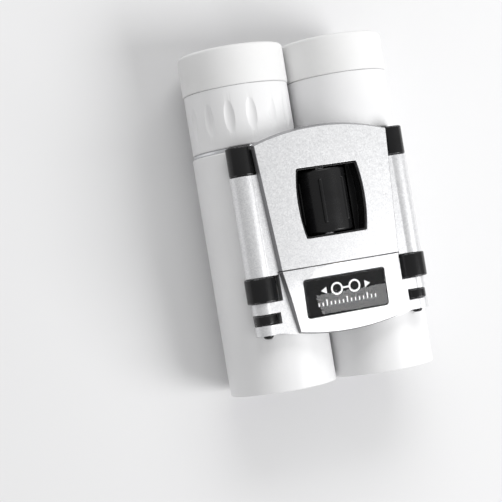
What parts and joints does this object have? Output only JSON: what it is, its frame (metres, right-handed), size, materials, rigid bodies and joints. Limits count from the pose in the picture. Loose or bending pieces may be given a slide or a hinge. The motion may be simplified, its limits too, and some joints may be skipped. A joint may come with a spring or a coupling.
{
  "type": "folding pocket binoculars",
  "caption": "Folding roof-prism pocket binoculars: white barrels hinged under a silver bridge with a focusing roller, a dioptre ring and soft eyecups.",
  "frame": {"origin": "centre of the footprint on the surface that the folded barrels lie on, midway along them", "axes": "+X across the two barrels, from the one with the dioptre ring to the plain one; +Y along the barrels towards the eyepieces; +Z out of the bridge cover"},
  "size_m": [0.0604, 0.0954, 0.036],
  "materials": {
    "white_shell": "satin white moulded plastic",
    "white_rubber": "soft white rubber",
    "silver_paint": "metallic silver paint",
    "black_plastic": "satin black",
    "black_anodised": "black anodised",
    "steel": "turned",
    "chrome": "polished",
    "brass": "turned",
    "label_black": "gloss",
    "clear_dome": "clear domed resin",
    "prism_glass": "polished",
    "coated_glass": "anti-reflection coated"
  },
  "bodies": {
    "upper_bridge": {"upper_frame": "silver_paint", "upper_cover": "silver_paint", "upper_frame_screws": "steel", "wheel_well": "black_plastic"},
    "focus_wheel": {"focus_wheel": "black_plastic", "focus_screw": "steel", "screw_clip": "steel"},
    "lower_bridge": {"lower_frame": "silver_paint", "lower_cover": "silver_paint", "lower_frame_screws": "steel", "label_plate": "label_black", "label_dome": "clear_dome", "focus_nut": "brass", "left_hinge_pin": "steel", "right_hinge_pin": "steel", "left_hinge_washer": "steel", "right_hinge_washer": "steel", "left_pin_cap": "black_plastic", "right_pin_cap": "black_plastic"},
    "left_barrel": {"left_prism_tube": "black_anodised", "left_bezel_ring": "chrome", "left_prism_cage": "black_plastic", "left_entry_prism": "prism_glass", "left_roof_prism": "prism_glass", "left_prism_clip": "steel", "left_field_stop": "black_plastic"},
    "left_objective": {"left_barrel_sleeve": "white_shell", "left_objective_tube": "black_anodised", "left_objective_retainer": "black_anodised", "left_crown_lens": "coated_glass", "left_flint_lens": "coated_glass"},
    "right_barrel": {"right_prism_tube": "black_anodised", "right_bezel_ring": "chrome", "right_prism_cage": "black_plastic", "right_entry_prism": "prism_glass", "right_roof_prism": "prism_glass", "right_prism_clip": "steel", "right_field_stop": "black_plastic", "right_eyepiece_cell": "black_plastic", "right_field_lens": "coated_glass", "right_lens_spacer": "black_plastic", "right_eye_lens": "coated_glass", "right_eye_bezel": "black_plastic", "right_eyepiece_ring": "white_shell", "right_eyecup": "white_rubber"},
    "right_objective": {"right_barrel_sleeve": "white_shell", "right_objective_tube": "black_anodised", "right_objective_retainer": "black_anodised", "right_crown_lens": "coated_glass", "right_flint_lens": "coated_glass"},
    "left_diopter": {"left_diopter_ring": "white_shell", "left_eyecup": "white_rubber"},
    "left_eyepiece": {"left_eyepiece_cell": "black_plastic", "left_field_lens": "coated_glass", "left_lens_spacer": "black_plastic", "left_eye_lens": "coated_glass", "left_eye_bezel": "black_plastic"}
  },
  "joints": [
    {"name": "focus_slide", "type": "slide", "parent": "upper_bridge", "child": "lower_bridge", "axis": [0, -1, 0], "range_m": [0, 0.004]},
    {"name": "focus_wheel_turn", "type": "hinge", "parent": "upper_bridge", "child": "focus_wheel", "pos_m": [0, 0, 0.0291], "axis": [0, 1, 0], "range_deg": [0, 270]},
    {"name": "left_hinge", "type": "hinge", "parent": "upper_bridge", "child": "left_barrel", "pos_m": [-0.0224, 0, 0.03], "axis": [0, 1, 0], "range_deg": [0, 100]},
    {"name": "right_hinge", "type": "hinge", "parent": "upper_bridge", "child": "right_barrel", "pos_m": [0.0224, 0, 0.03], "axis": [0, -1, 0], "range_deg": [0, 100]},
    {"name": "left_objective_slide", "type": "slide", "parent": "left_barrel", "child": "left_objective", "axis": [0, -1, 0], "range_m": [0, 0.004]},
    {"name": "right_objective_slide", "type": "slide", "parent": "right_barrel", "child": "right_objective", "axis": [0, -1, 0], "range_m": [0, 0.004]},
    {"name": "diopter_turn", "type": "hinge", "parent": "left_barrel", "child": "left_diopter", "pos_m": [-0.0152, 0, 0.015], "axis": [0, 1, 0], "range_deg": [-50, 50]},
    {"name": "diopter_slide", "type": "slide", "parent": "left_barrel", "child": "left_eyepiece", "axis": [0, 1, 0], "range_m": [-0.0006, 0.0006]}
  ],
  "couplings": [
    {"joint": "focus_wheel_turn", "follows": "focus_slide", "rad_per_m": 1178},
    {"joint": "left_objective_slide", "follows": "focus_slide", "ratio": 1},
    {"joint": "right_objective_slide", "follows": "focus_slide", "ratio": 1},
    {"joint": "diopter_slide", "follows": "diopter_turn", "m_per_rad": 0.000687}
  ]
}
